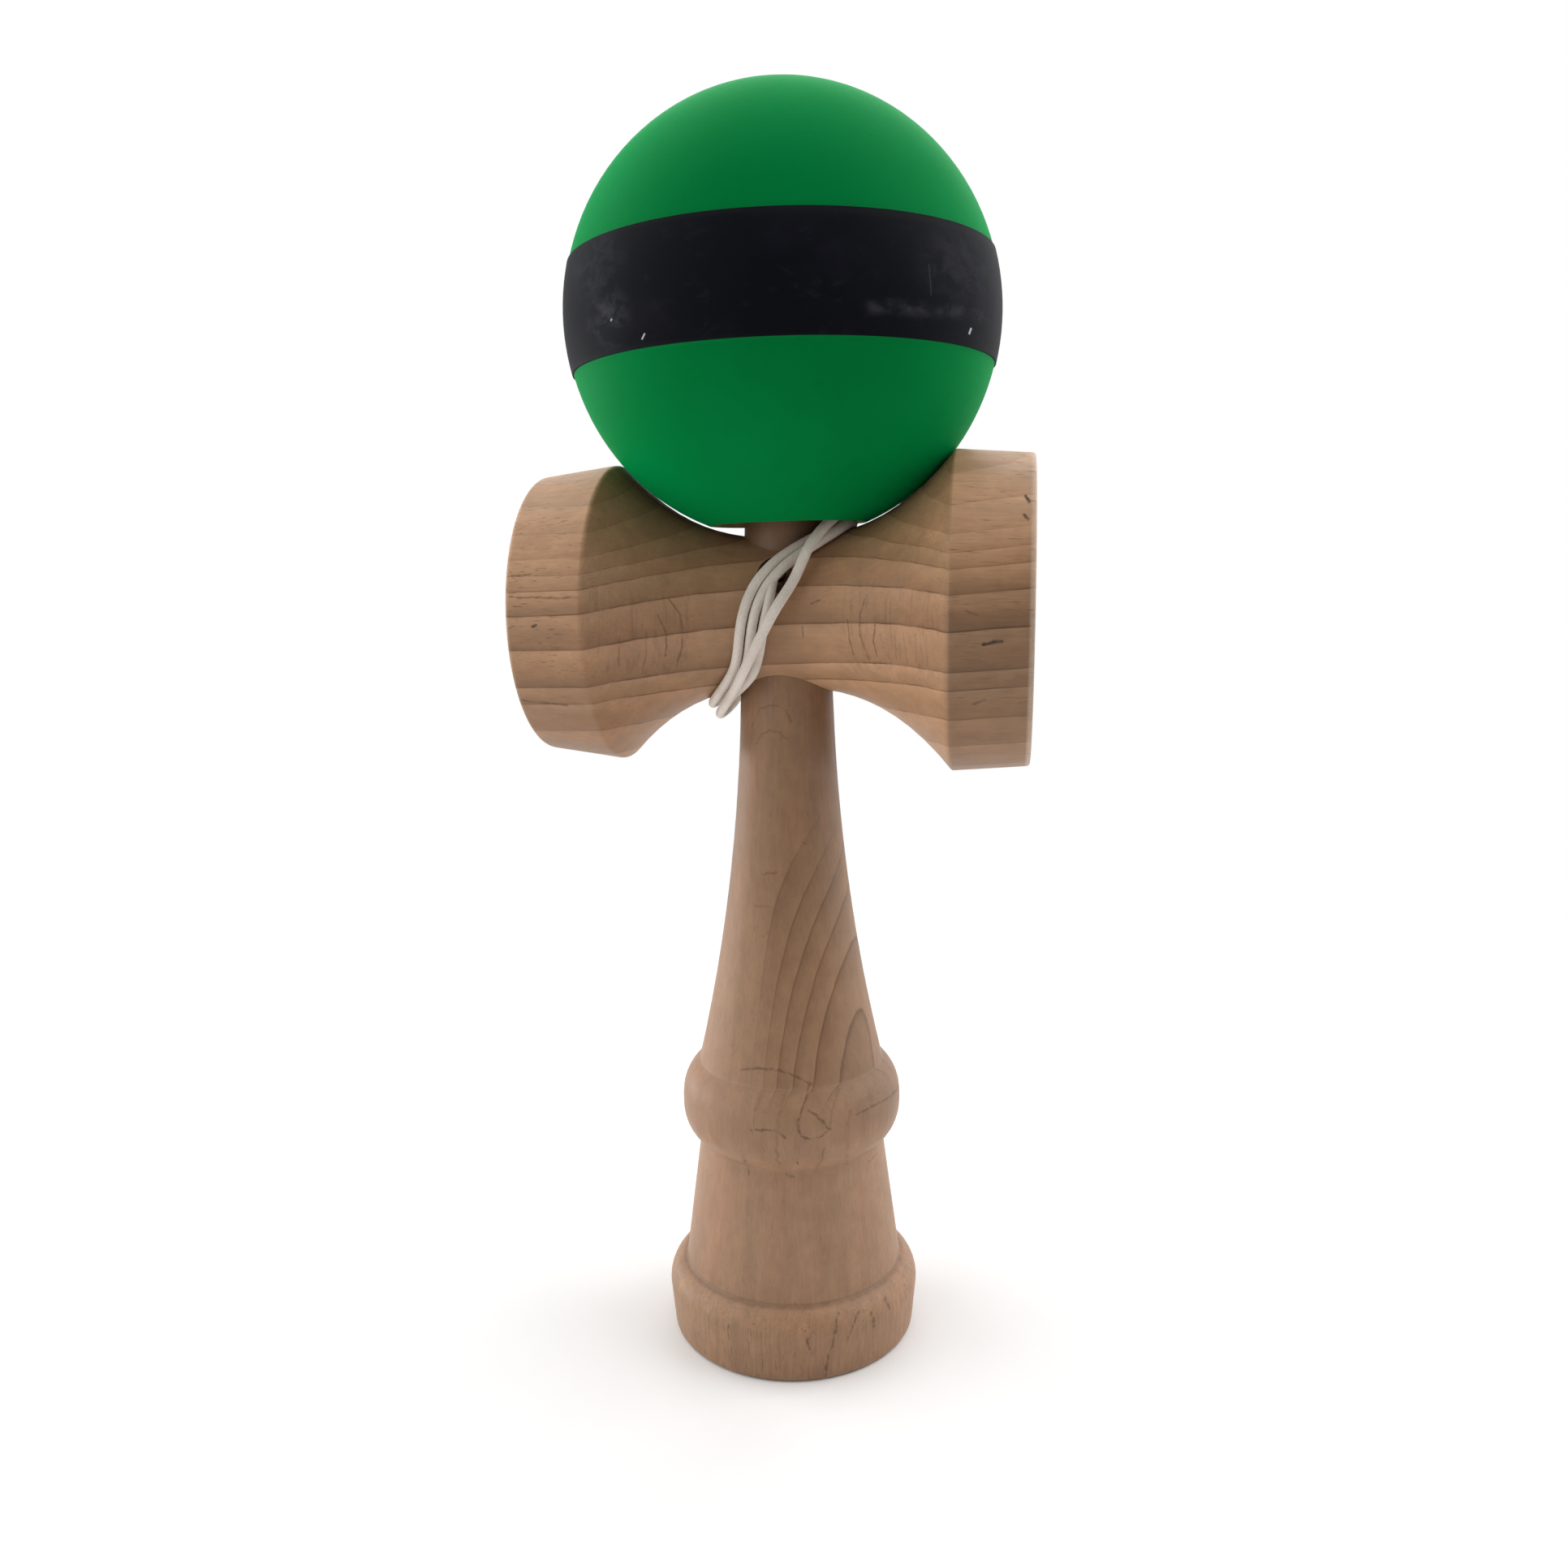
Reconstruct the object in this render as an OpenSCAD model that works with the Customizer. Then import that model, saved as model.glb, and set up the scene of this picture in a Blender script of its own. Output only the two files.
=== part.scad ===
// Kendama: a wooden handle with a spike and a base cup, a crosspiece with two cups, and a ball on a string.
// The origin is the middle of the foot, Z runs up the handle and X along the crosspiece to the big cup.

/* [Handle] */
// Height of the crosspiece axis above the foot
cross_z = 110; // [104:1:120]
// Radius of the foot at the floor, before its edge is rounded
foot_r = 18.6; // [18:0.1:19]
// Rounding of the foot's outer edge
foot_round = 1; // [0.6:0.1:1.4]
// Largest radius of the base flange
flange_r = 19.25; // [18.5:0.05:20]
// Height of the flange where it is widest
flange_z = 7; // [5.5:0.1:8]
// Radius of the flange's rounded shoulder
shoulder_r = 4.2; // [3.6:0.1:5]
// Radius of the lower body where it meets the flange
body_foot_r = 16.6; // [16:0.1:17.5]
// Radius of the neck under the bead ring
neck_r = 14; // [13:0.1:15]
// Height of the middle of the bead ring
ring_z = 36.8; // [34:0.1:40]
// Height of the bead ring
ring_h = 12.4; // [10:0.1:13]
// Largest radius of the bead ring
ring_r = 16.6; // [16:0.1:18]
// Radius of the shaft at its foot, above the bead ring
shaft_foot_r = 13.9; // [12.5:0.1:15]
// Steepness of the shaft at its foot, in radius lost per height
shaft_flare = 0.235; // [0.15:0.005:0.28]
// Radius of the shaft where its taper for the crosspiece starts
seat_r = 6.9; // [6.4:0.1:7.4]
// Length of the taper below the crosspiece axis
seat_below = 16; // [14:0.5:20]
// Length of the taper above the crosspiece axis
seat_above = 12; // [11:0.5:14]
// Radius of the spike where it leaves the crosspiece
spike_r = 5.8; // [5:0.1:6.2]
// Height of the spike's tip above the middle of the ball, as a share of the ball's radius
spike_in = 0.25; // [0.1:0.01:0.3]
// Radius of the spike's rounded tip
tip_r = 1.9; // [1.4:0.1:2.4]
// Radius of the base cup's mouth
base_cup_r = 16.4; // [15:0.1:17]
// Depth of the base cup
base_cup_d = 8; // [6:0.1:9]

/* [Crosspiece] */
// Distance from the handle to the big cup's rim
big_len = 35; // [32:0.5:38]
// Outer radius of the big cup's rim
big_rim_r = 21.6; // [20.5:0.1:22.5]
// Distance from the handle to the big cup's ridge
big_ridge_x = 24.2; // [23:0.1:26]
// Radius of the big cup's ridge
big_ridge_r = 22.4; // [22:0.1:24]
// Radius of the big cup's mouth
big_cup_r = 19.8; // [18.5:0.1:20.3]
// Depth of the big cup
big_cup_d = 10; // [8:0.1:11]
// Distance from the handle to the small cup's rim
small_len = 35; // [32:0.5:38]
// Outer radius of the small cup's rim
small_rim_r = 19.8; // [19:0.1:21]
// Distance from the handle to the small cup's ridge
small_ridge_x = 23.9; // [22:0.1:25]
// Radius of the small cup's ridge
small_ridge_r = 21.3; // [20.5:0.1:23]
// Radius of the small cup's mouth
small_cup_r = 17.8; // [16.5:0.1:18.2]
// Depth of the small cup
small_cup_d = 9; // [7:0.1:10]
// Radius of the waist between the cups
waist_r = 10.7; // [10:0.1:12]
// How late the waist swells towards the ridges, 2 for an even curve
waist_power = 2.55; // [2:0.05:3]
// Rounding of the big cup's edges
big_round = 0.6; // [0.3:0.1:1]
// Rounding of the small cup's edges
small_round = 0.9; // [0.3:0.1:1.2]
// Bevel of the inner edges of all three cups
lip = 0.4; // [0.2:0.05:0.6]
// Clearance between the handle's taper and the crosspiece
bore_gap = 0.04; // [0.02:0.01:0.1]

/* [Ball] */
// Radius of the ball
ball_r = 30; // [29:0.5:32]
// Radius of the main hole
hole_r = 10.3; // [9.8:0.1:11]
// Radius of the main hole's bevelled mouth
mouth_r = 11.2; // [11:0.1:12.5]
// Height of the bevel
bevel_h = 1.6; // [1:0.1:2.5]
// Radius of the string hole through the top
top_hole_r = 1.5; // [1.2:0.1:2]
// Rounding of the string hole's upper mouth
top_round = 2; // [1:0.1:2.5]
// Height of the grip band
band_h = 14.4; // [10:0.2:18]
// Thickness of the grip band
band_t = 1.2; // [0.8:0.1:2]
// How far the grip band stands proud of the ball
band_proud = 0.2; // [0.1:0.05:0.5]
// Clearance under the ball where it sits on the crosspiece
seat_gap = 0.1; // [0.05:0.05:0.5]
// Lean of the ball towards the small cup, in degrees
lean_side = 1; // [0:0.1:2]
// Lean of the ball away from the front, in degrees
lean_back = 0.5; // [0:0.1:1.5]
// Radius of the bead in the ball
bead_r = 3; // [2.5:0.1:3.5]

/* [String] */
// Diameter of the string
string_d = 1.4; // [1.2:0.05:1.5]
// Clearance of the string in the holes that it runs through
thread_gap = 0.3; // [0.2:0.05:0.5]
// Radius of the string's two knots
knot_r = 1.9; // [1.6:0.1:2.1]
// Height of the string's hole above the crosspiece axis
string_z = 5.5; // [4.5:0.1:6]
// Radius of the string's hole in the crosspiece
string_hole_r = 2.5; // [2:0.1:2.8]
// Clearance between neighbouring turns of the string
turn_gap = 0.5; // [0.45:0.05:0.7]
// Clearance between the string and what it lies on
lay_gap = 0.25; // [0.2:0.05:0.4]

/* [Hidden] */
$fn = 96;
wood = "burlywood";
cord_white = "ivory";
// Small room between pieces that touch lightly
touch_gap = 0.1;
// Extra length of a cut past the face that it opens
over = 1;

// General functions
function mix(a, b, t) = a + (b - a) * t;
function ease(t) = let (c = min(1, max(0, t))) c * c * (3 - 2 * c);
function unit(v) = v / norm(v);
function arc(centre, r, from, to, steps) =
    [for (i = [0:steps]) centre + r * [cos(mix(from, to, i / steps)), sin(mix(from, to, i / steps))]];
function curve(a, b, c, steps) =
    [for (i = [0:steps]) let (t = i / steps) a * (1 - t) * (1 - t) + b * 2 * t * (1 - t) + c * t * t];
// A smooth line through points, with one more point in each span
function between(p, i) = let (n = len(p) - 1, a = p[max(i - 1, 0)], d = p[min(i + 2, n)])
    (9 * (p[i] + p[i + 1]) - a - d) / 16;
function smooth(p) = concat([for (i = [0:len(p) - 2]) each [p[i], between(p, i)]], [p[len(p) - 1]]);
// Points that round the corner b between a and c
function rounded(a, b, c, r, steps = 5) =
    let (p = unit(a - b), q = unit(c - b), half = acos(p * q) / 2, reach = r / tan(half))
    curve(b + p * reach, b, b + q * reach, steps);

// Ball: it rests with the lower edge of its mouth on the waist, or on the waist further out
mouth_drop = sqrt(ball_r * ball_r - mouth_r * mouth_r);
rim_dip = mouth_r * sin(lean_side);
rim_seat = mouth_drop + max(waist_at(-mouth_r) + rim_dip, waist_at(mouth_r) - rim_dip);
function seat_at(x) = waist_at(x) + sqrt(max(0, ball_r * ball_r - x * x));
seat_steps = 24;
waist_seat = max([for (i = [0:seat_steps]) let (t = i / seat_steps)
    max(seat_at(mix(mouth_r, big_ridge_x, t)), seat_at(-mix(mouth_r, small_ridge_x, t)))]);
ball_h = seat_gap + max(rim_seat, waist_seat);
ball_z = cross_z + ball_h;

// Handle: outline from the axis under the foot, up the outside to the tip
shaft_foot_z = ring_z + ring_h / 2;
seat_z = cross_z - seat_below;
spike_z = cross_z + seat_above;
spike_len = ball_h + spike_in * ball_r;
seat_slope = (seat_r - spike_r) / (seat_below + seat_above);
tip_z = cross_z + spike_len;
ledge_angle = acos((body_foot_r - flange_r + shoulder_r) / shoulder_r);
shaft_bend_z = (shaft_foot_r - seat_r + shaft_flare * shaft_foot_z - seat_slope * seat_z)
    / (shaft_flare - seat_slope);
shaft_bend_r = seat_r + seat_slope * (seat_z - shaft_bend_z);
ring_power = 2.6;
ring_steps = 16;
shaft_steps = 20;
edge_steps = 8;
function taper_r(z) = seat_r - seat_slope * (z - seat_z);
function ring_side(t) = mix(neck_r, shaft_foot_r, (t + 1) / 2);
function ring_point(t) =
    [ring_side(t) + (ring_r - ring_side(0)) * (1 - pow(abs(t), ring_power)), ring_z + t * ring_h / 2];
spike_lean = atan2(spike_r - tip_r, spike_len - seat_above - tip_r);
ken_outline = concat(
    [[0, 0]],
    rounded([0, 0], [foot_r, 0], [flange_r, flange_z], foot_round),
    arc([flange_r - shoulder_r, flange_z], shoulder_r, 0, ledge_angle, edge_steps),
    [for (i = [0:ring_steps]) ring_point(2 * i / ring_steps - 1)],
    curve([shaft_foot_r, shaft_foot_z], [shaft_bend_r, shaft_bend_z], [seat_r, seat_z], shaft_steps),
    [[spike_r, spike_z]],
    arc([0, tip_z - tip_r], tip_r, spike_lean, 90, edge_steps));

// Crosspiece: outline along its own axis, from the small cup's end to the big cup's end
function waist_at(x) =
    x > 0 ? waist_r + (big_ridge_r - waist_r) * pow(x / big_ridge_x, waist_power)
          : waist_r + (small_ridge_r - waist_r) * pow(-x / small_ridge_x, waist_power);
// The waist's curve stops a little short of the ridges, whose corners are rounded
waist_step = 0.92;
waist_steps = 22;
small_rim = [small_rim_r, -small_len];
small_ridge = [small_ridge_r, -small_ridge_x];
big_ridge = [big_ridge_r, big_ridge_x];
big_rim = [big_rim_r, big_len];
waist_low = [waist_at(-waist_step * small_ridge_x), -waist_step * small_ridge_x];
waist_high = [waist_at(waist_step * big_ridge_x), waist_step * big_ridge_x];
cross_outline = concat(
    [[0, -small_len]],
    rounded([0, -small_len], small_rim, small_ridge, small_round),
    rounded(small_rim, small_ridge, waist_low, small_round),
    [for (i = [0:waist_steps]) let (x = mix(waist_low[1], waist_high[1], i / waist_steps)) [waist_at(x), x]],
    rounded(waist_high, big_ridge, big_rim, big_round),
    rounded(big_ridge, big_rim, [0, big_len], big_round),
    [[0, big_len]]);
// Length of the cuts through the waist from its middle
bore_reach = 2 * waist_r;
function cup_sphere(mouth, depth) = (mouth * mouth + depth * depth) / (2 * depth);

// A cup's hollow, its mouth in the plane Z = 0 and facing down. The bevel lies halfway between rim and wall.
lip_slope = 2;
module hollow(mouth, depth) {
    translate([0, 0, depth - cup_sphere(mouth, depth)]) sphere(cup_sphere(mouth, depth));
    translate([0, 0, -over])
        cylinder(h = over + lip, r1 = mouth + lip + lip_slope * over, r2 = mouth + lip - lip_slope * lip);
}

// Heights in the ball, from its middle
tip_room = 1;
knot_share = 0.9;
knot_flat = knot_share * knot_r;
ball_knot_z = spike_in * ball_r + tip_room + knot_r;
bead_z = ball_knot_z + knot_flat + touch_gap + bead_r;
hole_end = bead_z + bead_r + touch_gap;
top_mouth_r = top_hole_r + top_round;
top_mouth_z = sqrt(ball_r * ball_r - top_mouth_r * top_mouth_r);
band_in_r = ball_r - band_t + band_proud;
band_out_r = ball_r + band_proud;

// String through the handle
thread_r = string_d / 2 + thread_gap;
ken_at_string = taper_r(cross_z + string_z);
knot_hole_r = knot_r + thread_gap;
ken_knot_y = ken_at_string - knot_r - thread_gap;
knot_floor_y = ken_knot_y - knot_flat - touch_gap;
lead_end_y = -ken_at_string - thread_gap;

// String round the waist. The angle a grows along it: 0 is in front, 90 below, 180 behind and 270 above.
// Three loops lie side by side, each a pitch to the left of the one before. They run right of the spike above
// and left of the handle below, and bow to the left in front. The last loop climbs on them and crosses them.
turn_pitch = string_d + turn_gap;
loop_steps = 24;
lane_mid = -2.3;
lane_swing = 6.3;
lane_kick = 3;
kick_power = 5;
bow_size = 3.2;
bow_angle = -22;
bow_width = 67;
start_angle = 0;
climb_angle = 885;
climb_span = 50;
cross_angle = 925;
cross_span = 70;
last_mid = -0.5;
last_bow = -1;
leave_angle = 1175;
leave_span = 80;
leave_mid = -4.6;
end_angle = 1245;
dip_angle = -22;
dip_width = 24;
dip_size = 0.7;
// Angle from the nearest front, from -180 to 180
function front(a) = a - 360 * round(a / 360);
function bump(a, middle, width) = pow(cos(90 * min(1, abs(front(a) - middle) / width)), 2);
function sway(a) = lane_swing * sin(a) + lane_kick * pow(sin(a), kick_power);
function bowed(a) = -sway(a) - bow_size * bump(a, bow_angle, bow_width);
function slant(a) = (bowed(a + 1) - bowed(a - 1)) / (2 * PI / 180 * (waist_r + string_d / 2));
function inner_lane(a) = lane_mid + bowed(a) + turn_pitch * (2 - a / 360) * sqrt(1 + pow(slant(a), 2));
function outer_lane(a) = mix(last_mid, leave_mid, ease((a - leave_angle) / leave_span)) - sway(a)
    - last_bow * bump(a, bow_angle, bow_width);
function crossed(a) = ease((a - cross_angle) / cross_span);
function lane(a) = mix(inner_lane(a), outer_lane(a), crossed(a));
function layer(a) =
    ease((a - climb_angle) / climb_span) * (1 - dip_size * crossed(a) * bump(a, dip_angle, dip_width));
function wound(a) =
    let (x = lane(a), rho = waist_at(x) + string_d / 2 + lay_gap + layer(a) * turn_pitch)
    [x, -rho * cos(a), cross_z - rho * sin(a)];
// From the hole the string runs straight out, then bends down on to the waist
lead_out = [0, lead_end_y, cross_z + string_z];
lead_run = lead_out - [0, string_d, 0];
bend_steps = 5;
bend_out = [0, 3.2, 0];
bend_on = 3;
first_turn = wound(start_angle);
first_way = unit(wound(start_angle + 1) - first_turn);
bend_in = [for (i = [1:bend_steps - 1]) let (t = i / bend_steps, u = 1 - t)
    lead_run * pow(u, 3) + (lead_run - bend_out) * 3 * t * u * u
    + (first_turn - first_way * bend_on) * 3 * t * t * u + first_turn * pow(t, 3)];
loops = [for (a = [start_angle:360 / loop_steps:end_angle]) wound(a)];
leave_way = unit(loops[len(loops) - 1] - loops[len(loops) - 2]);
winding_end = loops[len(loops) - 1] + leave_way * string_d;
winding_route = concat([lead_out, lead_run], bend_in, loops, [winding_end]);
// Least room between one part of the winding and another, measured on close points
fine_step = 5;
fine = [for (a = [start_angle:fine_step:end_angle]) wound(a)];
apart = 150 / fine_step;
fine_last = len(fine) - 1;
winding_gap = -string_d
    + min([for (i = [0:fine_last - apart]) for (j = [i + apart:fine_last]) norm(fine[i] - fine[j])]);
echo(winding_gap = winding_gap);

// String from the waist up behind the ball and over its top, then down the ball's own axis.
// Its points are measured from the middle of a ball of the radius that follows.
riser_ball_r = 30;
riser_points = [[-5, 15.6, -38.5], [-4.5, 18.5, -32.5], [-4.1, 21.6, -26.2], [-3.9, 24.8, -20],
    [-3.8, 27.9, -13.7], [-3.8, 30.1, -7.6], [-3.8, 31.1, -1.8], [-3.8, 30.9, 4], [-3.7, 29.8, 9.3],
    [-3.5, 27.6, 14.5], [-3.2, 24.5, 19.3], [-2.8, 20.6, 23.4], [-2.4, 16.1, 26.6], [-1.8, 11.2, 29],
    [-1.3, 6.7, 30.3], [-0.9, 3.7, 30.8], [-0.8, 2.4, 30.5], [-0.6, 1.3, 29.9], [-0.5, 0.5, 28.9]];
riser_placed = [for (p = riser_points) p * ball_r / riser_ball_r + [0, 0, ball_z]];
function in_ball(p) = let (q = [p[0], p[1] * cos(lean_back) + p[2] * sin(lean_back),
    p[2] * cos(lean_back) - p[1] * sin(lean_back)])
    [q[0] * cos(lean_side) - q[2] * sin(lean_side), q[1],
        q[0] * sin(lean_side) + q[2] * cos(lean_side) + ball_z];
tail_top = top_mouth_z - top_round - string_d;
riser_start = winding_end + leave_way * string_d;
riser_end = in_ball([0, 0, tail_top + string_d]);
riser_route = concat([winding_end], smooth(concat([riser_start], riser_placed, [riser_end])),
    [in_ball([0, 0, tail_top])]);

// A tube of the string's size along a route, as rings of points joined by triangles
winding_sides = 6;
riser_sides = 8;
side_hint = [1, 0, 0.2];
function heading(route, i) = unit(route[min(i + 1, len(route) - 1)] - route[max(i - 1, 0)]);
function square_to(n, t) = unit(n - (n * t) * t);
function sides_of(route) = [for (i = 0, n = square_to(side_hint, heading(route, 0)); i < len(route);
    i = i + 1, n = i < len(route) ? square_to(n, heading(route, i)) : n) n];
module tube(route, sides) {
    across = sides_of(route);
    last = len(route) - 1;
    rings = [for (i = [0:last]) for (k = [0:sides - 1])
        route[i] + string_d / 2 * (cos(360 * k / sides) * across[i]
            + sin(360 * k / sides) * cross(heading(route, i), across[i]))];
    wall = [for (i = [0:last - 1]) for (k = [0:sides - 1])
        let (a = i * sides + k, b = i * sides + (k + 1) % sides)
        each [[a, a + sides, b], [b, a + sides, b + sides]]];
    start_cap = [for (k = [1:sides - 2]) [0, k, k + 1]];
    end_cap = [for (k = [1:sides - 2]) [last * sides, last * sides + k + 1, last * sides + k]];
    polyhedron(rings, concat(wall, start_cap, end_cap));
}

module on_ball() {
    translate([0, 0, ball_z]) rotate([-lean_back, -lean_side, 0]) children();
}

// A knot: a round lump with a flat side where the string enters it, towards +Z
module knot() {
    intersection() {
        sphere(knot_r);
        translate([0, 0, knot_flat - knot_r]) cube(2 * knot_r, center = true);
    }
}

module ken() {
    color(wood) difference() {
        rotate_extrude() polygon(ken_outline);
        hollow(base_cup_r, base_cup_d);
        translate([0, 0, cross_z + string_z]) rotate([90, 0, 0])
            cylinder(h = 2 * (seat_r + over), r = thread_r, center = true);
        translate([0, knot_floor_y, cross_z + string_z]) rotate([-90, 0, 0])
            cylinder(h = seat_r, r = knot_hole_r);
    }
}

module crosspiece() {
    color(wood) translate([0, 0, cross_z]) difference() {
        rotate([0, 90, 0]) rotate_extrude() polygon(cross_outline);
        translate([big_len, 0, 0]) rotate([0, -90, 0]) hollow(big_cup_r, big_cup_d);
        translate([-small_len, 0, 0]) rotate([0, 90, 0]) hollow(small_cup_r, small_cup_d);
        translate([0, 0, -bore_reach])
            cylinder(h = 2 * bore_reach, r1 = taper_r(cross_z - bore_reach) + bore_gap,
                r2 = taper_r(cross_z + bore_reach) + bore_gap);
        translate([0, 0, string_z]) rotate([90, 0, 0]) cylinder(h = bore_reach, r = string_hole_r);
    }
}

module ball() {
    color("green") on_ball() difference() {
        sphere(ball_r);
        translate([0, 0, -ball_r]) cylinder(h = ball_r + hole_end, r = hole_r);
        translate([0, 0, -mouth_drop - over])
            cylinder(h = bevel_h + over, r1 = mouth_r + over * (mouth_r - hole_r) / bevel_h, r2 = hole_r);
        cylinder(h = ball_r + over, r = top_hole_r);
        rotate_extrude() polygon(concat(
            [[0, ball_r + over], [0, top_mouth_z - top_round]],
            arc([top_mouth_r, top_mouth_z - top_round], top_round, 180, 90, edge_steps),
            [[top_mouth_r, ball_r + over]]));
        difference() {
            cylinder(h = band_h, r = ball_r + over, center = true);
            sphere(band_in_r);
        }
    }
}

module grip_band() {
    color("black") on_ball() intersection() {
        cylinder(h = band_h, r = ball_r + over, center = true);
        difference() {
            sphere(band_out_r);
            sphere(band_in_r);
        }
    }
}

module bead() {
    color("sandybrown") on_ball() translate([0, 0, bead_z]) difference() {
        sphere(bead_r);
        cylinder(h = 2 * (bead_r + over), r = thread_r, center = true);
    }
}

module ken_knot() {
    color(cord_white) translate([0, ken_knot_y, cross_z + string_z]) rotate([90, 0, 0]) knot();
}

module ball_knot() {
    color(cord_white) on_ball() translate([0, 0, ball_knot_z]) knot();
}

module string_lead() {
    color(cord_white) translate([0, ken_knot_y - knot_flat, cross_z + string_z]) rotate([90, 0, 0])
        cylinder(h = ken_knot_y - knot_flat - lead_end_y, r = string_d / 2);
}

module string_winding() {
    color(cord_white) tube(winding_route, winding_sides);
}

module string_riser() {
    color(cord_white) tube(riser_route, riser_sides);
}

module string_tail() {
    color(cord_white) on_ball() translate([0, 0, ball_knot_z + knot_flat])
        cylinder(h = tail_top - ball_knot_z - knot_flat, r = string_d / 2);
}

ken();
crosspiece();
ball();
grip_band();
bead();
ken_knot();
ball_knot();
string_lead();
string_winding();
string_riser();
string_tail();
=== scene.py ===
import math
import bpy
from mathutils import Matrix, Vector


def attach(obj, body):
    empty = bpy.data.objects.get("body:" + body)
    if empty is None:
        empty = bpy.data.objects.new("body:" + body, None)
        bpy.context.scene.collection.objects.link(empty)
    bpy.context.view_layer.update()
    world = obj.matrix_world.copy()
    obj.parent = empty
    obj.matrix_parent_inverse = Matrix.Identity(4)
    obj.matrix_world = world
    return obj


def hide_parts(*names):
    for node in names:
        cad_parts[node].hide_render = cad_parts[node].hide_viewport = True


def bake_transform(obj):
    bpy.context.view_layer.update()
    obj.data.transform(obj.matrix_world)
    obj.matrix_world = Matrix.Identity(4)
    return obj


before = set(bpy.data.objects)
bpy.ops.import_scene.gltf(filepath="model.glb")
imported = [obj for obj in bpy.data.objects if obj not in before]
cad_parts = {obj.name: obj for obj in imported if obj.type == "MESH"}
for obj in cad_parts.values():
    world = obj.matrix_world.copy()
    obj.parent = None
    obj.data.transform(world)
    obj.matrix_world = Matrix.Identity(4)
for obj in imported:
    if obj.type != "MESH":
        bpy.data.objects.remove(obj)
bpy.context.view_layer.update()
scene = bpy.context.scene
scene.view_settings.view_transform = "Standard"
MM = 0.001


# ---------------------------------------------------------------- camera
# Fitted to the outlines in the photograph: angles in radians, place in mm
CAM_TURN, CAM_PITCH, CAM_ROLL = 0.173, 0.1713, -0.012
CAM_PLACE = Vector((31.52, -183.83, 117.17))
CAM_LENS, CAM_SENSOR = 29.372, 36
CAM_NEAR, CAM_FAR = 0.01, 50


def make_camera():
    ahead = Vector((-math.sin(CAM_TURN) * math.cos(CAM_PITCH), math.cos(CAM_TURN) * math.cos(CAM_PITCH),
                    -math.sin(CAM_PITCH)))
    level = Vector((math.cos(CAM_TURN), math.sin(CAM_TURN), 0))
    upright = level.cross(ahead)
    right = level * math.cos(CAM_ROLL) + upright * math.sin(CAM_ROLL)
    up = upright * math.cos(CAM_ROLL) - level * math.sin(CAM_ROLL)
    place = CAM_PLACE * MM
    data = bpy.data.cameras.new("photo_camera")
    data.sensor_fit = "HORIZONTAL"
    data.sensor_width = CAM_SENSOR
    data.lens = CAM_LENS
    data.clip_start, data.clip_end = CAM_NEAR, CAM_FAR
    cam = bpy.data.objects.new("photo_camera", data)
    scene.collection.objects.link(cam)
    cam.matrix_world = Matrix([(right[i], up[i], -ahead[i], place[i]) for i in range(3)] + [(0, 0, 0, 1)])
    scene.camera = cam


make_camera()


# ---------------------------------------------------------------- the string's route
# The same route as in part.scad, in mm and degrees. The winding's angle counts from the front, down and round behind
CROSS_Z, BALL_Z, STRING_D = 110.0, 150.3756, 1.4
BALL_AXIS = Vector((-0.0174517, 0.0087265, 0.9998096))
STRING_HOLE_Z = 115.5
LEAD_START, LEAD_LENGTH, LEAD_STEPS = 2.145, 8.5, 7     # straight out through the handle and the crosspiece
BEND_STEPS, BEND_OUT, BEND_IN = 9, 3.2, 3               # then a curve into the first turn
WAIST_R, WAIST_POWER = 10.7, 2.55
BIG_SIDE, SMALL_SIDE = (24.2, 11.7), (23.9, 10.6)       # length of each side of the waist, and its rise at the ridge
WIND_END, WIND_STEP = 1245, 5
TURN_PITCH, LAYER_STEP, LAY_GAP = 1.55, 1.9, 0.25
FRONT_MID, FRONT_WIDTH = -22, 67                        # the slanting bundle at the front
GATHER_MID, GATHER_WIDTH = 75, 70                       # where its turns draw together, low at the front
CROSS_FROM, CROSS_OVER = 925, 70                        # the last turn crosses the others
RISE_FROM, RISE_OVER = 885, 50                          # and first climbs on top of them
TAIL = (27.795, 26.395, 24, 21.5, 19, 16.5, 14, 12.11)  # heights inside the ball


def mix(a, b, t):
    return a + (b - a) * t


def ease(t):
    c = min(1, max(0, t))
    return c * c * (3 - 2 * c)


def waist_at(x):
    length, rise = BIG_SIDE if x > 0 else SMALL_SIDE
    return WAIST_R + rise * (abs(x) / length) ** WAIST_POWER


def sind(a):
    return math.sin(math.radians(a))


def bump_at(a, middle, width):
    """1 at the middle angle of every turn, falling to 0 at the width on both sides."""
    front = a - 360 * math.floor(a / 360 + 0.5)
    return math.cos(math.radians(90 * min(1, abs(front - middle) / width))) ** 2


def sway(a):
    return 6.3 * sind(a) + 3 * sind(a) ** 5


def bowed(a):
    return -sway(a) - 3.2 * bump_at(a, FRONT_MID, FRONT_WIDTH)


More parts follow.
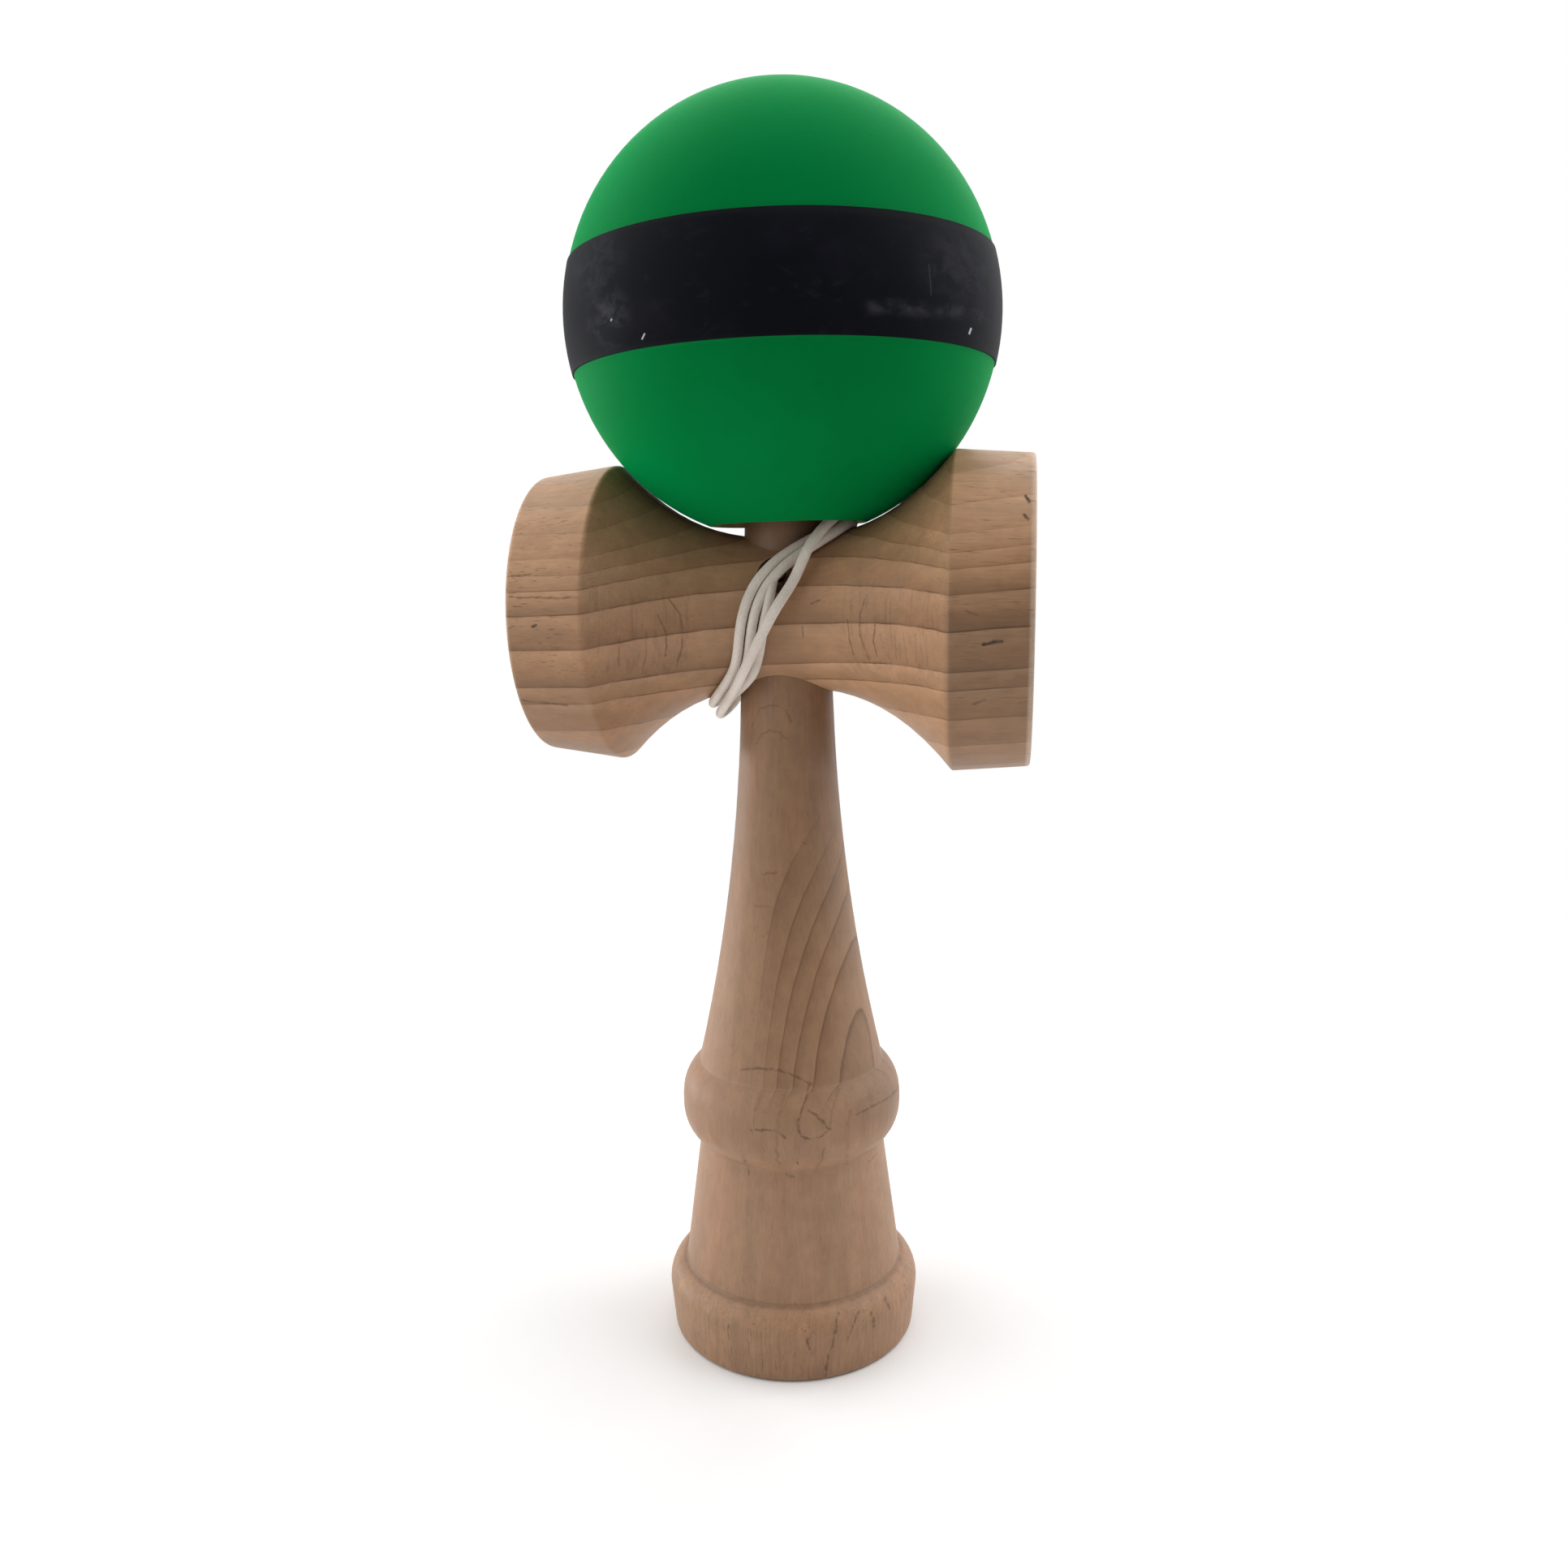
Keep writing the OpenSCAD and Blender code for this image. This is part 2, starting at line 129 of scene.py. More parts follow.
def wound(a):
    """The winding's point at an angle: turns beside each other, then one turn that crosses on top of them."""
    slant = (bowed(a + 1) - bowed(a - 1)) / (2 * math.pi / 180 * 11.4)
    gathered = bump_at(a, GATHER_MID, GATHER_WIDTH)
    beside = TURN_PITCH * (1 - 0.25 * gathered) * (2 - a / 360) * math.sqrt(1 + slant ** 2)
    inner = -1.6 + 0.3 * gathered + bowed(a) + beside
    outer = mix(-0.5, -4.6, ease((a - 1175) / 80)) - sway(a) + bump_at(a, FRONT_MID, FRONT_WIDTH)
    crossed = ease((a - CROSS_FROM) / CROSS_OVER)
    x = mix(inner, outer, crossed)
    layer = ease((a - RISE_FROM) / RISE_OVER) * (1 - 0.7 * crossed * bump_at(a, FRONT_MID, 24))
    rho = waist_at(x) + STRING_D / 2 + LAY_GAP + layer * LAYER_STEP
    return Vector((x, -rho * math.cos(math.radians(a)), CROSS_Z - rho * sind(a)))


def smooth(points):
    """Twice as many points on the same curve."""
    last = len(points) - 1
    out = []
    for i in range(last):
        a, b, c, d = points[max(i - 1, 0)], points[i], points[i + 1], points[min(i + 2, last)]
        out += [b, (b + c) * 0.5625 - (a + d) * 0.0625]
    return out + [points[last]]


# Up behind the ball to the hole in its top, from the ball's middle
RISER = [(-5, 15.6, -38.5), (-4.5, 18.5, -32.5), (-4.1, 21.6, -26.2), (-3.9, 24.8, -20), (-3.8, 27.9, -13.7),
         (-3.8, 30.1, -7.6), (-3.8, 31.1, -1.8), (-3.8, 30.9, 4), (-3.7, 29.8, 9.3), (-3.5, 27.6, 14.5),
         (-3.2, 24.5, 19.3), (-2.8, 20.6, 23.4), (-2.4, 16.1, 26.6), (-1.8, 11.2, 29), (-1.3, 6.7, 30.3),
         (-0.9, 3.7, 30.8), (-0.8, 2.4, 30.5), (-0.6, 1.3, 29.9), (-0.5, 0.5, 28.9)]


def on_axis(z):
    return BALL_AXIS * z + Vector((0, 0, BALL_Z))


def string_route():
    lead_end = LEAD_START - LEAD_LENGTH
    lead_out = Vector((0, lead_end, STRING_HOLE_Z))
    lead_run = Vector((0, lead_end - STRING_D, STRING_HOLE_Z))
    first = wound(0)
    way = (wound(1) - first).normalized()
    route = [Vector((0, LEAD_START - LEAD_LENGTH * i / LEAD_STEPS, STRING_HOLE_Z)) for i in range(LEAD_STEPS)]
    route.append(lead_out)
    for i in range(BEND_STEPS):
        t = i / BEND_STEPS
        u = 1 - t
        route.append(lead_run * u ** 3 + (lead_run - Vector((0, BEND_OUT, 0))) * 3 * t * u * u
                     + (first - way * BEND_IN) * 3 * t * t * u + first * t ** 3)
    loops = [wound(a) for a in range(0, WIND_END + 1, WIND_STEP)]
    leave = (wound(WIND_END) - wound(WIND_END - 15)).normalized()
    end = loops[-1] + leave * STRING_D
    riser = [end, end + leave * STRING_D] + [Vector(p) + Vector((0, 0, BALL_Z)) for p in RISER]
    tail = [on_axis(z) for z in TAIL]
    return route + loops + smooth(smooth(riser + tail[:2])) + tail[2:]


def tube(name, points, radius, sides):
    """A smooth tube along the points (mm), with a UV map: length in mm, and once round."""
    n = len(points)
    heads = [(points[min(i + 1, n - 1)] - points[max(i - 1, 0)]).normalized() for i in range(n)]
    lean = Vector((1, 0, 0.2))
    side = (lean - heads[0] * heads[0].dot(lean)).normalized()
    verts, run = [], [0.0]
    for i in range(n):
        side = (side - heads[i] * side.dot(heads[i])).normalized()
        over = heads[i].cross(side)
        if i:
            run.append(run[-1] + (points[i] - points[i - 1]).length)
        for k in range(sides):
            t = 2 * math.pi * k / sides
            verts.append((points[i] + (side * math.cos(t) + over * math.sin(t)) * radius(run[-1], t)) * MM)
    faces, uvs = [], []
    for i in range(n - 1):
        for k in range(sides):
            j = (k + 1) % sides
            faces.append((i * sides + k, i * sides + j, (i + 1) * sides + j, (i + 1) * sides + k))
            low, high = k / sides, (k + 1) / sides
            uvs += [(run[i], low), (run[i], high), (run[i + 1], high), (run[i + 1], low)]
    for i, turn in ((0, -1), (n - 1, 1)):
        faces.append(tuple(i * sides + k for k in range(sides))[::turn])
        uvs += [(run[i], 0.5)] * sides
    mesh = bpy.data.meshes.new(name)
    mesh.from_pydata([tuple(v) for v in verts], [], faces)
    layer = mesh.uv_layers.new(name="along")
    for loop, uv in zip(layer.data, uvs):
        loop.uv = uv
    for face in mesh.polygons:
        face.use_smooth = len(face.vertices) == 4
    mesh.update()
    obj = bpy.data.objects.new(name, mesh)
    scene.collection.objects.link(obj)
    return obj


CORD_SIDES, CORD_TURN, CORD_OVAL, CORD_GROOVE = 20, 0.035, 0.04, 0.05


def cord_radius(run, t):
    """Soft oval cord with a shallow groove on each flat side; the oval turns slowly along the length."""
    turned = t - run * CORD_TURN
    return 0.5 * STRING_D * (1 + CORD_OVAL * math.cos(2 * turned)) * (1 - CORD_GROOVE * abs(math.sin(turned)) ** 14)


route = string_route()
string = tube("string_cord", route, cord_radius, CORD_SIDES)
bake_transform(string)
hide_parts("string_lead", "string_winding", "string_riser", "string_tail")


KNOT_STEPS, KNOT_SIDES = 96, 12
KNOT_SPREAD, KNOT_DEPTH, KNOT_CORD_R = 0.37, 0.62, 0.66


def knot(name, middle, axis, body, node):
    """A tight overhand knot: a small trefoil of the same cord, squeezed into a lump."""
    z = Vector(axis).normalized()
    x = z.orthogonal().normalized()
    y = z.cross(x)
    points = []
    for i in range(KNOT_STEPS + 1):
        t = 2 * math.pi * i / KNOT_STEPS
        px, py = math.sin(t) + 2 * math.sin(2 * t), math.cos(t) - 2 * math.cos(2 * t)
        points.append(Vector(middle) + (x * px + y * py) * KNOT_SPREAD - z * math.sin(3 * t) * KNOT_DEPTH)
    piece = tube(name, points, lambda run, t: KNOT_CORD_R, KNOT_SIDES)
    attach(piece, body)
    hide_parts(node)
    return piece


ken_knot = knot("string_knot_handle", (0, 3.855, STRING_HOLE_Z), (0, 1, 0), "ken", "ken_knot")
ball_knot = knot("string_knot_ball", on_axis(10.4), BALL_AXIS, "tether", "ball_knot")


# ---------------------------------------------------------------- material helpers
def rgb(r, g, b):
    """A colour as it is written on the screen, for a socket."""
    def lin(v):
        v /= 255
        return v / 12.92 if v <= 0.04045 else ((v + 0.055) / 1.055) ** 2.4
    return (lin(r), lin(g), lin(b), 1)


class Net:
    """Short calls for building one node material."""

    def __init__(self, name):
        self.mat = bpy.data.materials.new(name)
        self.mat.use_nodes = True
        self.tree = self.mat.node_tree
        self.tree.nodes.clear()
        self.out = self.node("ShaderNodeOutputMaterial")
        self.shader = self.node("ShaderNodeBsdfPrincipled")
        self.tree.links.new(self.shader.outputs[0], self.out.inputs[0])

    def node(self, kind, **props):
        n = self.tree.nodes.new(kind)
        for key, value in props.items():
            setattr(n, key, value)
        return n

    def put(self, socket, value):
        if isinstance(value, bpy.types.NodeSocket):
            self.tree.links.new(value, socket)
        else:
            socket.default_value = value

    def set(self, name, value):
        self.put(self.shader.inputs[name], value)

    def math(self, op, a, b=0.0, c=0.0, clamp=False):
        n = self.node("ShaderNodeMath", operation=op, use_clamp=clamp)
        for s, v in zip(n.inputs, (a, b, c)):
            self.put(s, v)
        return n.outputs[0]

    def add(self, *terms):
        total = terms[0]
        for t in terms[1:]:
            total = self.math("ADD", total, t)
        return total

    def mul(self, *terms):
        total = terms[0]
        for t in terms[1:]:
            total = self.math("MULTIPLY", total, t)
        return total

    def vec(self, op, a, b=(0, 0, 0), out=0):
        n = self.node("ShaderNodeVectorMath", operation=op)
        self.put(n.inputs[0], a)
        if op == "SCALE":
            self.put(n.inputs["Scale"], b)
        else:
            self.put(n.inputs[1], b)
        return n.outputs[out]

    def split(self, v):
        return self.node_io("ShaderNodeSeparateXYZ", v).outputs

    def node_io(self, kind, value, index=0, **props):
        n = self.node(kind, **props)
        self.put(n.inputs[index], value)
        return n

    def mm(self):
        """Object coordinates in mm, which are the part's own frame."""
        coords = self.node("ShaderNodeTexCoord")
        return self.vec("SCALE", coords.outputs["Object"], 1000.0)

    def noise(self, where, scale, detail=2.0, rough=0.5, twist=0.0):
        n = self.node("ShaderNodeTexNoise")
        self.put(n.inputs["Vector"], self.vec("MULTIPLY", where, scale))
        n.inputs["Scale"].default_value = 1
        n.inputs["Detail"].default_value = detail
        n.inputs["Roughness"].default_value = rough
        n.inputs["Distortion"].default_value = twist
        return n.outputs["Fac"]

    def noise_colour(self, where, scale):
        n = self.node("ShaderNodeTexNoise")
        self.put(n.inputs["Vector"], where)
        n.inputs["Scale"].default_value = scale
        n.inputs["Detail"].default_value = 2
        return n.outputs["Color"]

    def swing(self, where, scale, size):
        """Noise about nought, of the given size."""
        return self.math("MULTIPLY_ADD", self.noise(where, scale), 2 * size, -size)

    def pick(self, value):
        """One random number from 0 to 1 for each whole number."""
        whole = self.math("FLOOR", value)
        return self.node_io("ShaderNodeTexWhiteNoise", whole, 1, noise_dimensions="1D").outputs[0]

    def span(self, value, a, b, c=0.0, d=1.0, kind="SMOOTHSTEP"):
        """From c where the value is a to d where it is b, and no further."""
        n = self.node("ShaderNodeMapRange", interpolation_type=kind)
        for s, v in zip(n.inputs, (value, a, b, c, d)):
            self.put(s, v)
        return n.outputs[0]

    def ramp(self, value, stops):
        """Colours or numbers at the stops, and straight between them."""
        n = self.node_io("ShaderNodeValToRGB", value)
        points = n.color_ramp.elements
        while len(points) < len(stops):
            points.new(0.5)
        for e, (at, colour) in zip(points, stops):
            e.position = at
            e.color = colour if isinstance(colour, tuple) else (colour, colour, colour, 1)
        return n.outputs[0]

    def blend(self, fac, a, b):
        n = self.node("ShaderNodeMix", data_type="RGBA")
        self.put(n.inputs[0], fac)
        self.put(n.inputs[6], a)
        self.put(n.inputs[7], b)
        return n.outputs[2]

    def shade(self, colour, factor):
        """Colour made lighter or darker by a number."""
        return self.vec("SCALE", colour, factor)

    def bump(self, height, distance, strength=1.0, base=None):
        n = self.node("ShaderNodeBump")
        n.inputs["Strength"].default_value = strength
        n.inputs["Distance"].default_value = distance
        self.put(n.inputs["Height"], height)
        if base is not None:
            self.put(n.inputs["Normal"], base)
        return n.outputs[0]

    def after(self, value, where):
        """The same place to within a millionth, worked out once the value is known: Cycles can only hold a
        few hundred numbers at a time, so long rows of strokes have to be worked out in turn."""
        n = self.node("ShaderNodeVectorMath", operation="MULTIPLY_ADD")
        self.put(n.inputs[0], value)
        n.inputs[1].default_value = (1e-7, 0, 1e-7)
        self.put(n.inputs[2], where)
        return n.outputs[0]

    def bevel(self, radius, samples):
        """The normal with corners rounded to the radius, in metres."""
        n = self.node("ShaderNodeBevel", samples=samples)
        n.inputs["Radius"].default_value = radius
        return n.outputs[0]

    def edge(self, radius):
        """1 along sharp edges, 0 on smooth faces."""
        rounded = self.bevel(radius, 4)
        plain = self.node("ShaderNodeNewGeometry").outputs["Normal"]
        return self.span(self.vec("DOT_PRODUCT", rounded, plain, out=1), 0.995, 0.93)


def strokes(net, where, lines, width, soft):
    """1 on thin marks on the front that follow lines of points (x, z in mm), 0 away from them."""
    near, here = None, where
    for line in lines:
        for a, b in zip(line, line[1:]):
            way = Vector((b[0] - a[0], 0, b[1] - a[1]))
            off = net.vec("SUBTRACT", here, (a[0], 0, a[1]))
            share = net.vec("DOT_PRODUCT", off, tuple(way / way.length_squared), out=1)
            foot = net.vec("SCALE", way, net.math("ADD", share, 0.0, clamp=True))
            gap = net.vec("DISTANCE", off, foot, out=1)
            near = gap if near is None else net.math("MINIMUM", near, gap)
            here = net.after(near, where)
    return net.span(near, width, width + soft, 1.0, 0.0)


def front_marks(net, where, sets, unsteady, least):
    """The darkest of several sets of strokes (lines, width, softness, depth) on the front half only. They shake by
    the first number, in mm, and fade in places to the second."""
    shake = net.vec("SUBTRACT", net.noise_colour(where, 0.9), (0.5, 0.5, 0.5))
    flat = net.vec("MULTIPLY", net.vec("ADD", where, net.vec("SCALE", shake, unsteady)), (1, 0, 1))
    broken = net.span(net.noise(where, (1.3, 1.3, 1.3), 2, 0.6), 0.3, 0.6, least, 1.0)
    front = net.span(net.split(where)[1], -0.2, -0.6)
    marks = None
    for lines, width, soft, depth in sets:
        one = net.mul(strokes(net, flat, lines, width, soft), depth)
        marks = one if marks is None else net.math("MAXIMUM", marks, one)
        flat = net.after(marks, flat)
    return net.mul(marks, broken, front)


def dress(node, mat):
    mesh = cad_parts[node].data
    mesh.materials.clear()
    mesh.materials.append(mat)


# ---------------------------------------------------------------- wood
X_GRAIN, Z_GRAIN = 0, 2
PORE_BROWN, CRACK_BROWN, CORNER_DIRT_AND_SHADE = rgb(84, 60, 41), rgb(58, 39, 25), rgb(70, 46, 30)
# Wood along sharp edges: wear and a painted highlight. The big cup's rim: a painted highlight
EDGE_WEAR_AND_HIGHLIGHT, RIM_HIGHLIGHT = rgb(178, 148, 118), rgb(205, 186, 169)


def wood_finish(net, where, grain, colour, rough, pores, marks=None, fillet=0.0):
    """Fibres, pores and a soft sealed surface, for wood whose grain runs along the axis given."""
    def stretch(along, across):
        s = [across, across, across]
        s[grain] = along
        return tuple(s)
    fibre = net.noise(where, stretch(0.06, 2.6), 3, 0.6)
    streak = net.noise(where, stretch(0.022, 0.55), 3, 0.55)
    cloud = net.noise(where, stretch(0.03, 0.075), 2, 0.5)
    mottle = net.noise(where, stretch(0.3, 0.42), 4, 0.65)
    tone = net.mul(net.span(fibre, 0.25, 0.75, 0.89, 1.09, "LINEAR"),
                   net.span(streak, 0.25, 0.75, 0.88, 1.11, "LINEAR"),
                   net.span(cloud, 0.3, 0.7, 0.94, 1.06, "LINEAR"))
    # Turned and sanded faces with few pores show less of it
    calm = net.span(pores, 0.0, 1.0, 0.5, 1.0, "LINEAR")
    colour = net.shade(colour, net.math("MULTIPLY_ADD", net.math("SUBTRACT", tone, 1.0), calm, 1.0))
    colour = net.shade(colour, net.span(mottle, 0.3, 0.7, 0.9, 1.1, "LINEAR"))
    # Some patches are a little redder than others
    blush = net.span(net.noise(where, stretch(0.06, 0.14), 3, 0.6), 0.42, 0.66, 0.0, 0.8)
    colour = net.blend(blush, colour, net.vec("MULTIPLY", colour, (1.03, 0.975, 0.99)))
    # Pores: short dark dashes along the grain, in patches
    dash = net.span(net.noise(where, stretch(0.16, 5.2), 1, 0.5), 0.62, 0.74)
    dash = net.mul(dash, pores, net.span(net.noise(where, stretch(0.05, 0.45), 2, 0.6), 0.38, 0.6, 0.25, 1.0))
    colour = net.blend(net.mul(dash, 0.6), colour, PORE_BROWN)
    if marks is not None:
        colour = net.blend(marks, colour, CRACK_BROWN)
    # Lighter along sharp edges: wear, and a painted highlight on the ridges
    sharp_edge = net.edge(0.0007)
    net.set("Base Color", net.blend(net.mul(sharp_edge, 0.3), colour, EDGE_WEAR_AND_HIGHLIGHT))
    net.set("Roughness", net.add(rough, net.mul(net.math("SUBTRACT", streak, 0.5), 0.25), net.mul(dash, 0.2)))
    net.set("Specular IOR Level", 0.3)
    height = net.add(net.mul(fibre, 0.6), net.mul(dash, -1.0), net.mul(streak, 0.4))
    rounded = net.bevel(fillet, 8) if fillet else None
    net.set("Normal", net.bump(height, 0.00006, 0.6, rounded))


# Cracks, hairlines, dashes and faint marks that the photograph shows on the crosspiece: points x, z in mm
CROSS_CRACKS = [
    [(-14.0, 112.6), (-12.5, 110.4), (-12.2, 107.7), (-12.8, 104.9), (-13.8, 102.9)],
    [(-15.3, 110.5), (-14.3, 107.7), (-14.7, 104.7)],
    [(12.9, 112.4), (12.2, 110.3), (12.1, 107.6), (12.8, 105.5), (13.3, 104.1)],
    [(10.4, 109.5), (10.6, 107.0), (11.1, 104.8)],
    [(14.3, 109.0), (14.0, 106.6), (14.5, 104.7)],
    [(4.1, 108.6), (4.1, 107.1)],
]
CROSS_HAIRS = [
    [(-16.7, 108.4), (-17.0, 105.1), (-17.9, 102.3)],
    [(-19.9, 107.4), (-20.3, 103.6)],
    [(17.1, 108.0), (17.2, 104.6)],
    [(18.2, 108.3), (18.7, 104.1)],
    [(19.9, 107.9), (19.9, 104.2)],
    [(21.4, 107.9), (21.5, 103.8)],
]
CROSS_DASHES = [
    [(28.7, 106.8), (29.8, 107.1), (30.9, 107.2)],
    [(-30.9, 109.2), (-30.3, 109.3)],
    [(33.6, 125.1), (34.0, 124.4)],
    [(33.4, 122.7), (33.9, 122.2)],
]
CROSS_FAINT = [
    [(-33.0, 113.0), (-29.8, 113.0), (-26.3, 112.9), (-24.2, 113.0)],
    [(-34.8, 98.9), (-27.6, 98.3)],
    [(-34.0, 115.8), (-31.1, 116.0)],
    [(26.4, 111.0), (27.8, 110.5)],
    [(27.4, 99.1), (28.9, 99.6)],
    [(5.3, 111.7), (6.5, 112.1)],
]


# Heights of the growth rings on the front (mm from the axis), how strong they are over that range, and their colours
CROSS_RINGS = [-26, -22.5, -18.5, -13.8, -9.0, -6.1, 0.2, 5.6, 9.2, 11.4, 13.75, 17.2, 20.5, 26]
CROSS_STRENGTH = [(0, 0.35), (0.22, 0.5), (0.3, 1.0), (0.64, 1.0), (0.7, 0.7), (0.75, 0.45), (1, 0.4)]
CROSS_TONES = [(0, rgb(166, 129, 97)), (0.35, rgb(147, 111, 80)), (0.7, rgb(119, 87, 61)), (1, rgb(90, 63, 43))]


def cross_wood():
    net = Net("cross_wood")
    whole = net.mm()
    where = net.vec("SUBTRACT", whole, (0, 0, CROSS_Z))
    x, y, z = net.split(where)
    away = net.math("ABSOLUTE", x)
    # Height in the growth rings: nearly z, tilted and curved as the lines in the photograph are
    u = net.add(z, net.mul(y, -0.1333), net.mul(x, -0.0598), net.mul(x, x, -0.000212),
                net.mul(y, z, -0.008024), net.mul(y, y, 0.0015),
                net.swing(where, (0.03, 0.1, 0.1), 0.4), net.swing(where, (0.16, 0.8, 0.8), 0.14))
    low, high, last = CROSS_RINGS[0], CROSS_RINGS[-1], len(CROSS_RINGS) - 1
    share = net.span(u, low, high, 0, 1, "LINEAR")
    order = net.ramp(share, [((v - low) / (high - low), i / last) for i, v in enumerate(CROSS_RINGS)])
    ring = net.mul(order, last)
    part = net.math("FRACT", ring)
    which = net.pick(ring)
    patchy = net.noise(where, (0.05, 0.4, 0.4), 2, 0.5)
    fine_line = net.ramp(part, [(0, 1.0), (0.03, 0.25), (0.06, 0.0), (0.982, 0.0), (0.996, 1.0)])
    body = net.ramp(part, [(0, 0.62), (0.12, 0.5), (0.45, 0.3), (0.9, 0.0), (0.97, 0.0), (0.995, 0.5)])
    strong = net.ramp(share, CROSS_STRENGTH)
    dark = net.mul(strong, net.add(net.mul(body, net.span(which, 0, 1, 0.7, 1.05, "LINEAR")),
                                   net.mul(fine_line, net.span(patchy, 0.35, 0.65, 0.06, 0.5))))
    colour = net.ramp(dark, CROSS_TONES)
    # Painted light and shade: lighter on the waist by the big cup and high on both cups, darker low on the cups and
    # under the waist
    painted_light_and_shade = net.add(net.mul(net.span(x, 1, 9), net.span(x, 24.4, 23.4), net.span(z, 2, -6, 0.14, 0.24)),
                   net.mul(net.span(x, -23.4, -24.4), net.span(z, -18, 16, -0.22, 0.36, "LINEAR")),
                   net.mul(net.span(x, 23.6, 24.6), net.span(z, -2, 18, -0.27, 0.36)),
                   net.mul(net.span(z, -4, -9), net.span(away, 16, 6), -0.12))
    colour = net.shade(colour, net.add(painted_light_and_shade, 1.0))
    # The big cup's rim is painted lighter: a painted highlight along its edge
    colour = net.blend(net.span(x, 34.1, 34.6, 0.0, 0.45), colour, RIM_HIGHLIGHT)
    # Ray flecks: faint upright strokes on both sides of the waist
    beside = net.mul(net.span(away, 8, 12), net.span(away, 24, 22), net.span(z, -10, -6), net.span(z, 7, 1))
    rays = net.span(net.noise(where, (1.5, 1.5, 0.11), 2, 0.55), 0.5, 0.68)
    colour = net.shade(colour, net.math("MULTIPLY_ADD", net.mul(beside, rays), -0.17, 1.0))
    marks = front_marks(net, whole, [(CROSS_CRACKS, 0.02, 0.15, 0.55), (CROSS_HAIRS, 0.02, 0.14, 0.27),
                                     (CROSS_DASHES, 0.1, 0.2, 1.0), (CROSS_FAINT, 0.02, 0.22, 0.6)], 0.4, 0.4)
    # No marks in the bores and the cups
    rho = net.vec("LENGTH", net.vec("MULTIPLY", where, (0, 1, 1)), out=1)
    hollow = net.span(away, 21, 25, 9.0, 17.5)
    marks = net.mul(marks, net.span(net.math("SUBTRACT", rho, hollow), 0.0, 0.5))
    pores = net.mul(net.span(away, 20, 26, 0.4, 1.0), net.span(z, -14, 5, 0.5, 1.0))
    wood_finish(net, where, X_GRAIN, colour, 0.5, pores, marks)
    return net.mat


# The same for the handle
KEN_CRACKS = [
    [(-4.3, 94.2), (-2.8, 96.7), (-0.8, 97.5), (1.0, 96.7), (1.7, 94.9)],
    [(-3.5, 91.7), (-2.7, 93.2), (-1.3, 93.8), (0.1, 93.5), (1.1, 92.5)],
    [(-2.5, 73.2), (-0.4, 73.5)],
    [(-3.5, 68.5), (-1.3, 68.6)],
    [(3.2, 77.9), (3.8, 77.5)],
    [(5.4, 30.2), (6.8, 33.0), (7.3, 34.9)],
    [(-4.6, 33.0), (-4.2, 29.3)],
    [(12.5, 29.1), (13.5, 29.3)],
    [(-3.4, 6.2), (-3.5, 4.3)],
    [(-6.6, 7.9), (-6.7, 5.8)],
    [(-10.0, 7.9), (-9.9, 6.2)],
]
KEN_HAIRS = [
    [(10.6, 39.7), (10.3, 35.5), (9.8, 30.5)],
    [(-1.9, 42.6), (-2.6, 40.0), (-2.9, 37.2)],
    [(1.7, 43.1), (0.9, 39.8), (0.6, 35.2), (0.7, 32.3)],
    [(9.4, 45.2), (8.7, 42.0), (8.2, 40.3), (8.0, 37.8)],
]
KEN_DARK = [
    [(-5.3, 44.9), (-2.7, 45.7), (-0.1, 45.7), (2.4, 45.1), (5.1, 43.6)],
    [(-3.2, 37.7), (-0.8, 38.0), (1.0, 37.6), (1.8, 36.9)],
    [(4.8, 43.9), (4.5, 42.0), (3.9, 40.3), (3.5, 38.8), (4.0, 37.2), (5.2, 36.5), (6.4, 36.7), (7.6, 37.4)],
    [(5.0, 40.6), (6.7, 39.4), (8.0, 37.6)],
    [(16.4, 38.8), (15.0, 39.2), (13.3, 39.3), (11.3, 39.0)],
    [(1.4, 30.1), (2.6, 29.8)],
    [(3.4, 32.9), (3.4, 32.3)],
    [(9.2, 9.8), (8.8, 7.0), (8.0, 4.2), (7.6, 2.1), (7.4, 0.7)],
    [(11.9, 9.5), (10.4, 5.9)],
    [(13.7, 8.8), (14.2, 6.6)],
    [(15.5, 9.6), (16.2, 7.9)],
    [(5.1, 7.4), (5.4, 5.6)],
]


# Corners darkened with dirt and painted shade, and how dark: along the foot's ledge, under the bead ring and above it
KEN_CORNERS = ((10.9, 0.8), (30.6, 0.07), (43.0, 0.05))
KEN_TONES = [(0, rgb(151, 116, 86)), (0.35, rgb(136, 102, 74)), (0.7, rgb(115, 84, 58)), (1, rgb(92, 65, 43))]
# Lightness from the foot (0) to the tip of the spike (1): darker towards the top, with painted shade on the spike
# where the ball shades it
KEN_HEIGHT = 160
KEN_LIGHT = [(0, 1.0), (0.15, 1.08), (0.2, 1.1), (0.24, 0.98), (0.35, 0.97), (0.45, 0.87), (0.62, 0.84), (0.74, 0.55),
             (1, 0.6)]


